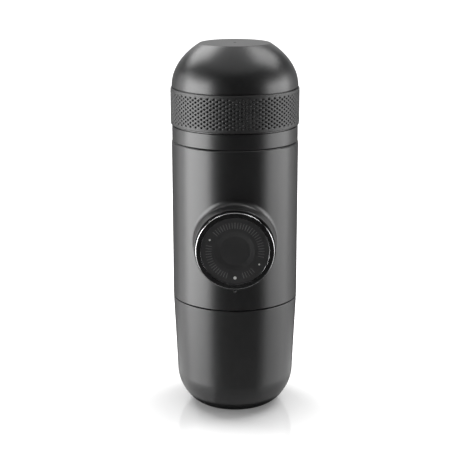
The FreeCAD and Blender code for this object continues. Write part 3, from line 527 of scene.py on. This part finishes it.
def makeOutletHead():
    s = head
    domeCentre = (s["radius"] - s["domeReach"], s["domeLow"])
    dome = ellipseArc(domeCentre, s["domeReach"], s["domeRise"], 0, s["domeTurn"], s["domeSteps"])
    dome[-1] = (*dome[-1], s["noseRound"])
    funnelCentre = (s["cavityApex"], s["cavityDome"])
    funnelReach, funnelRise = s["cavity"] - s["cavityApex"], s["noseInner"] - s["cavityDome"]
    funnel = ellipseArc(funnelCentre, funnelReach, funnelRise, 90, 0, s["cavitySteps"])
    outline = [
        (s["skirt"], s["skirtLow"], s["skirtRound"]),
        (s["skirt"], s["ringLow"]),
        (s["ring"], s["ringLow"], s["ringRound"]),
        (s["ring"], s["ringTop"], s["ringRound"]),
        (s["radius"], s["ringTop"], s["domeFootRound"]),
        *dome,
        (s["nozzleHole"], s["nose"], s["holeRound"]),
        (s["nozzleHole"], s["noseInner"]),
        *funnel,
        (s["cavity"], s["cavityLow"]),
        (s["bore"], s["cavityLow"]),
        (s["bore"], s["skirtLow"], s["skirtRound"]),
    ]
    bm = turnedMesh(outline)
    addThread(bm, s["skirt"], s)
    finishPiece(bm, "outletHead", "outlet", "shell", "shell_plastic", "outlet_head")


nozzle = {
    "radius": 5.6, "bore": 3.6, "low": 163.0, "top": 168.0,
    "flange": 7.4, "flangeLow": 165.1, "flangeTop": 166.2,
    "edgeRound": 0.2, "mouthRound": 0.4, "steps": 96,
}


def makeNozzle():
    s = nozzle
    outline = [
        (s["bore"], s["low"], s["edgeRound"]),
        (s["radius"], s["low"], s["edgeRound"]),
        (s["radius"], s["flangeLow"]),
        (s["flange"], s["flangeLow"]),
        (s["flange"], s["flangeTop"]),
        (s["radius"], s["flangeTop"]),
        (s["radius"], s["top"], s["edgeRound"]),
        (s["bore"], s["top"], s["mouthRound"]),
    ]
    bm = turnedMesh(outline, s["steps"])
    finishPiece(bm, "nozzleInsert", "outlet", "inner", "inner_plastic", "nozzle_insert")


# The button lies on the pump's axis. Heights here are depths from the long axis.
disc = {
    "radius": 15.45, "back": 38.5, "front": 39.6, "edgeRound": 0.12,
    "dish": 9.0, "dishDrop": 0.5, "dishSlope": 2.2, "dishRound": 3.0,
}


def makeDisc():
    s = disc
    floor = s["front"] - s["dishDrop"]
    outline = [
        (0, s["back"]),
        (s["radius"], s["back"]),
        (s["radius"], s["front"], s["edgeRound"]),
        (s["dish"], s["front"], s["dishRound"]),
        (s["dish"] - s["dishSlope"], floor, s["dishRound"]),
        (0, floor),
    ]
    bm = turnedMesh(outline)
    layOnPump(bm)
    finishPiece(bm, "buttonFace", "button", "button", "button_plastic", "button_disc")


ticks = {
    "inner": 10.6, "outer": 13.3, "width": 0.34, "rise": 0.12, "sink": 0.1, "edgeRound": 0.06,
    "step": 6, "dotAngles": (270.0, 155.0, 330.7), "dotClear": 13.0,      # degrees
}


# Low raised bars round the dish, with a plain stretch at each dot.
def makeTicks():
    s = ticks
    bm = bmesh.new()
    top = disc["front"] * mm
    length, thickness = s["outer"] - s["inner"], s["rise"] + s["sink"]
    size = Matrix.Diagonal((length * mm, s["width"] * mm, thickness * mm, 1))
    middleHeight = disc["front"] + (s["rise"] - s["sink"]) / 2
    middle = Vector((s["inner"] + length / 2, 0, middleHeight)) * mm
    for turn in range(0, 360, s["step"]):
        if min(abs((turn - angle + 180) % 360 - 180) for angle in s["dotAngles"]) < s["dotClear"]:
            continue
        place = Matrix.Rotation(math.radians(turn), 4, "Z") @ Matrix.Translation(middle) @ size
        made = bmesh.ops.create_cube(bm, size=1.0, matrix=place)["verts"]
        edges = {edge for vert in made for edge in vert.link_edges}
        rims = [edge for edge in edges if all(end.co.z > top for end in edge.verts)]
        bmesh.ops.bevel(
            bm, geom=rims, offset=s["edgeRound"] * mm, offset_type="OFFSET", segments=2,
            profile=0.5, affect="EDGES", material=-1, clamp_overlap=True,
        )
    layOnPump(bm)
    finishPiece(bm, "buttonTicks", "button", "ticks", "button_plastic")


bezel = {
    "outer": 17.8, "inner": 15.5, "low": 37.4, "high": 40.0,
    "frontRound": 0.3, "edgeRound": 0.04, "arcSteps": 10,
}


def makeBezel():
    s = bezel
    outline = [
        (s["inner"], s["low"]),
        (s["outer"], s["low"], s["edgeRound"]),
        (s["outer"], s["high"], s["frontRound"]),
        (s["inner"], s["high"], s["edgeRound"]),
    ]
    bm = turnedMesh(outline, arcSteps=s["arcSteps"])
    layOnPump(bm)
    finishPiece(bm, "buttonBezel", "button", "chrome", "chrome_trim", "button_bezel")


# The index mark on the body is a small pip with a hollow in its face.
mark = {
    "radius": 0.7, "height": 64.0, "back": 29.31, "front": 29.79, "edgeRound": 0.12,
    "hollow": 0.42, "hollowEdge": 0.06, "hollowDrop": 0.22,
    "hollowFloor": 0.1, "hollowRound": 0.05, "steps": 48,
}


def makeMark():
    s = mark
    floor = s["front"] - s["hollowDrop"]
    outline = [
        (0, s["back"]),
        (s["radius"], s["back"]),
        (s["radius"], s["front"], s["edgeRound"]),
        (s["hollow"], s["front"], s["hollowEdge"]),
        (s["hollowFloor"], floor, s["hollowRound"]),
        (0, floor),
    ]
    bm = turnedMesh(outline, s["steps"])
    layOnPump(bm)
    bmesh.ops.translate(bm, verts=bm.verts[:], vec=(0, 0, (s["height"] - pumpHeight) * mm))
    finishPiece(bm, "indexMark", "main_body", "shell", "white_mark", "index_mark")


makers = (
    makeCup, makeBand, makeTank, makeOutletHead, makeNozzle,
    makeDisc, makeTicks, makeBezel, makeMark,
)
for make in makers:
    make()
print("pieces made,", len(makers))


studio = {
    "cameraDistance": 0.571,
    "cameraHeight": 0.236,
    "cameraTilt": 15.0,              # degrees down
    "lens": 94.2,
    "sensor": 36,
    "fill": 0.22,
    "lampDistance": 0.6,
    "lampAim": 0.15,
}
floorLook = {
    "half": 16.0,
    "cells": 8,
    "tones": (0.93, 0.95),
    "speckle": 900,
    "roughness": 0.08,
    "shine": 0.8,
    # Next to the object the camera's extra light stays low, so the floor round the foot is darker:
    # painted shade, on top of the real shadow.
    "fade": (0.02, 0.09),            # from the object's axis, where the camera's extra light rises
    "lift": (0.14, 1.0),             # that light, which the camera alone sees added to the floor
}

# Azimuth 0 is the camera's side and -90 is its left. Heights are of the lamp's middle.
lamps = {
    "leftBox": {"azimuth": -133, "height": 0.77, "size": 0.5, "power": 4.7},
    "rightBox": {"azimuth": 117, "height": 0.93, "size": 0.6, "power": 5.3},
}

# Cards that only reflections see. The black ones keep the dark plastic dark. The glowing ones
# stand at both sides and lie round the foot, and draw the long highlights and the table's shine.
# Each has its azimuths, its low and high edge as (radius, height), and the glow at both edges.
cards = {
    "tableShade": (0, 360, (0.02, -1.9), (1.72, -1.38), (0, 0)),
    "frontCard": (-155, 155, (1.72, -1.4), (1.72, 2.2), (0, 0)),
    "backLow": (150, 210, (1.72, -1.4), (1.72, 0.0), (0, 0)),
    "backHigh": (150, 210, (1.72, 0.0), (1.72, 0.9), (0.3, 0.85)),
    "leftPanel": (-100, -46, (1.68, -0.62), (1.68, 0.6), (7.5, 10.8)),
    "leftUpper": (-110, -45, (1.68, 0.6), (1.68, 1.05), (7.0, 0.5)),
    "leftWing": (-126, -100, (1.68, -0.62), (1.68, 0.6), (1.9, 1.9)),
    "leftTip": (-155, -126, (1.68, -0.62), (1.68, 0.6), (0.4, 0.3)),
    "leftLower": (-100, -50, (1.68, -1.35), (1.68, -0.62), (1.4, 3.1)),
    "leftBehind": (-155, -100, (1.68, -1.35), (1.68, -0.62), (0.9, 1.9)),
    "rightPanel": (59, 112, (1.68, -0.62), (1.68, 0.5), (1.9, 7.6)),
    "rightUpper": (59, 116, (1.68, 0.5), (1.68, 0.95), (4.0, 0.2)),
    "rightWing": (112, 132, (1.68, -0.62), (1.68, 0.6), (1.0, 0.9)),
    "rightTip": (132, 155, (1.68, -0.62), (1.68, 0.6), (0.35, 0.3)),
    "rightLower": (57, 112, (1.68, -1.35), (1.68, -0.62), (1.0, 2.2)),
    "rightBehind": (112, 155, (1.68, -1.35), (1.68, -0.62), (0.8, 1.6)),
    "frontLower": (-50, 57, (1.68, -1.35), (1.68, -0.62), (0.4, 0.4)),
    "tableFront": (-28, 36, (0.024, 0.0008), (0.045, 0.002), (0.4, 0.4)),
    "tableLeft": (-100, -28, (0.024, 0.0008), (0.045, 0.002), (0.6, 1.6)),
    "tableRight": (36, 100, (0.024, 0.0008), (0.045, 0.002), (0.35, 1.1)),
    "tableBehind": (100, 260, (0.024, 0.0008), (0.045, 0.002), (0.2, 0.7)),
}
cardLook = {"tones": (0.008, 0.014), "weave": 300, "roughness": 1.0, "steps": 48}


# Takes a place as a radius, an azimuth in degrees and a height.
def onRing(radius, azimuth, height):
    turn = math.radians(azimuth)
    return Vector((radius * math.sin(turn), -radius * math.cos(turn), height))


def addLamp(name, settings):
    light = bpy.data.lights.new(name, "AREA")
    light.shape = "RECTANGLE"
    light.size = light.size_y = settings["size"]
    light.energy = settings["power"]
    lamp = bpy.data.objects.new(name, light)
    bpy.context.scene.collection.objects.link(lamp)
    lamp.location = onRing(studio["lampDistance"], settings["azimuth"], settings["height"])
    aim = Vector((0, 0, studio["lampAim"])) - lamp.location
    lamp.rotation_euler = aim.to_track_quat("-Z", "Y").to_euler()


# The second shader is what the camera sees, also by a mirror or through glass.
def forCamera(tree, lit, plain):
    rays = tree.nodes.new("ShaderNodeLightPath")
    seen = rays.outputs["Is Camera Ray"]
    for label in ("Is Glossy Ray", "Is Transmission Ray"):
        either = tree.nodes.new("ShaderNodeMath")
        either.operation = "MAXIMUM"
        tree.links.new(seen, either.inputs[0])
        tree.links.new(rays.outputs[label], either.inputs[1])
        seen = either.outputs[0]
    mix = tree.nodes.new("ShaderNodeMixShader")
    tree.links.new(seen, mix.inputs[0])
    tree.links.new(lit, mix.inputs[1])
    tree.links.new(plain, mix.inputs[2])
    return mix.outputs[0]


def makeWorld():
    world = bpy.data.worlds.new("studioAir")
    world.use_nodes = True
    tree = world.node_tree
    fill = tree.nodes["Background"]
    fill.inputs["Color"].default_value = (1, 1, 1, 1)
    fill.inputs["Strength"].default_value = studio["fill"]
    white = tree.nodes.new("ShaderNodeBackground")
    white.inputs["Color"].default_value = (1, 1, 1, 1)
    white.inputs["Strength"].default_value = 1.0
    mixed = forCamera(tree, fill.outputs[0], white.outputs[0])
    tree.links.new(mixed, tree.nodes["World Output"].inputs["Surface"])
    bpy.context.scene.world = world


def stageObject(bm, name, material):
    mesh = bpy.data.meshes.new(name)
    bm.to_mesh(mesh)
    bm.free()
    mesh.materials.append(material)
    prop = bpy.data.objects.new(name, mesh)
    bpy.context.scene.collection.objects.link(prop)
    return prop


def addSpeckle(tree, place, shader, scale, tones):
    speckle = addNoise(tree, place, scale, 2.0)
    dark, light = ((tone,) * 3 for tone in tones)
    tree.links.new(addMix(tree, speckle, dark, light), shader.inputs["Base Color"])


def makeFloor():
    s = floorLook
    bm = bmesh.new()
    bmesh.ops.create_grid(bm, x_segments=s["cells"], y_segments=s["cells"], size=s["half"])
    material, tree, shader, place = newMaterial("floorCard")
    addSpeckle(tree, place, shader, s["speckle"], s["tones"])
    shader.inputs["Roughness"].default_value = s["roughness"]
    shader.inputs["Specular IOR Level"].default_value = s["shine"]
    # Painted shade: the extra light grows from fade's near end to its far end, so the floor round
    # the foot stays darker than further out, on top of the real shadow.
    reach = tree.nodes.new("ShaderNodeVectorMath")
    reach.operation = "LENGTH"
    tree.links.new(place, reach.inputs[0])
    glow = tree.nodes.new("ShaderNodeEmission")
    lift = addRange(tree, reach.outputs["Value"], s["fade"], s["lift"])
    tree.links.new(lift, glow.inputs["Strength"])
    lifted = tree.nodes.new("ShaderNodeAddShader")
    tree.links.new(shader.outputs[0], lifted.inputs[0])
    tree.links.new(glow.outputs[0], lifted.inputs[1])
    mixed = forCamera(tree, shader.outputs[0], lifted.outputs[0])
    tree.links.new(mixed, tree.nodes["Material Output"].inputs["Surface"])
    floor = stageObject(bm, "floor", material)
    floor.visible_glossy = False


# A card glows evenly or from its low edge to its high one. Seen from behind it is clear.
def cardMaterial(name, low, high, glow):
    material, tree, shader, place = newMaterial(name)
    addSpeckle(tree, place, shader, cardLook["weave"], cardLook["tones"])
    shader.inputs["Roughness"].default_value = cardLook["roughness"]
    shader.inputs["Emission Color"].default_value = (1, 1, 1, 1)
    shader.inputs["Emission Strength"].default_value = glow[0]
    if glow[0] != glow[1]:
        split = tree.nodes.new("ShaderNodeSeparateXYZ")
        tree.links.new(place, split.inputs[0])
        ramp = addRange(tree, split.outputs["Z"], (low[1], high[1]), glow)
        tree.links.new(ramp, shader.inputs["Emission Strength"])
    clear = tree.nodes.new("ShaderNodeBsdfTransparent")
    side = tree.nodes.new("ShaderNodeNewGeometry")
    mix = tree.nodes.new("ShaderNodeMixShader")
    tree.links.new(side.outputs["Backfacing"], mix.inputs[0])
    tree.links.new(shader.outputs[0], mix.inputs[1])
    tree.links.new(clear.outputs[0], mix.inputs[2])
    tree.links.new(mix.outputs[0], tree.nodes["Material Output"].inputs["Surface"])
    return material


# A card is a line swept round the object. Its face looks in and up.
def makeCard(name, start, end, low, high, glow):
    bm = bmesh.new()
    ends = [bm.verts.new(onRing(radius, start, height)) for radius, height in (low, high)]
    edge = bm.edges.new(ends)
    bmesh.ops.spin(
        bm, geom=ends + [edge], cent=(0, 0, 0), axis=upAxis, dvec=(0, 0, 0),
        angle=math.radians(end - start), steps=cardLook["steps"],
        use_merge=False, use_normal_flip=False, use_duplicate=False,
    )
    bm.faces.ensure_lookup_table()
    first = bm.faces[0]
    outward = first.calc_center_median()
    outward.z = 0
    if first.normal.dot(upAxis - outward) < 0:
        bmesh.ops.reverse_faces(bm, faces=bm.faces[:])
    card = stageObject(bm, name, cardMaterial(name, low, high, glow))
    card.visible_camera = False
    card.visible_diffuse = False
    card.visible_shadow = False


def makeCamera():
    data = bpy.data.cameras.new("camera")
    data.lens = studio["lens"]
    data.sensor_width = studio["sensor"]
    camera = bpy.data.objects.new("camera", data)
    camera.location = (0, -studio["cameraDistance"], studio["cameraHeight"])
    camera.rotation_euler = (math.radians(90 - studio["cameraTilt"]), 0, 0)
    bpy.context.scene.collection.objects.link(camera)
    bpy.context.scene.camera = camera


makeWorld()
makeFloor()
for cardName, cardRow in cards.items():
    makeCard(cardName, *cardRow)
for lampName, lampSettings in lamps.items():
    addLamp(lampName, lampSettings)
makeCamera()
bpy.context.scene.view_settings.view_transform = "Standard"
print("studio ready")
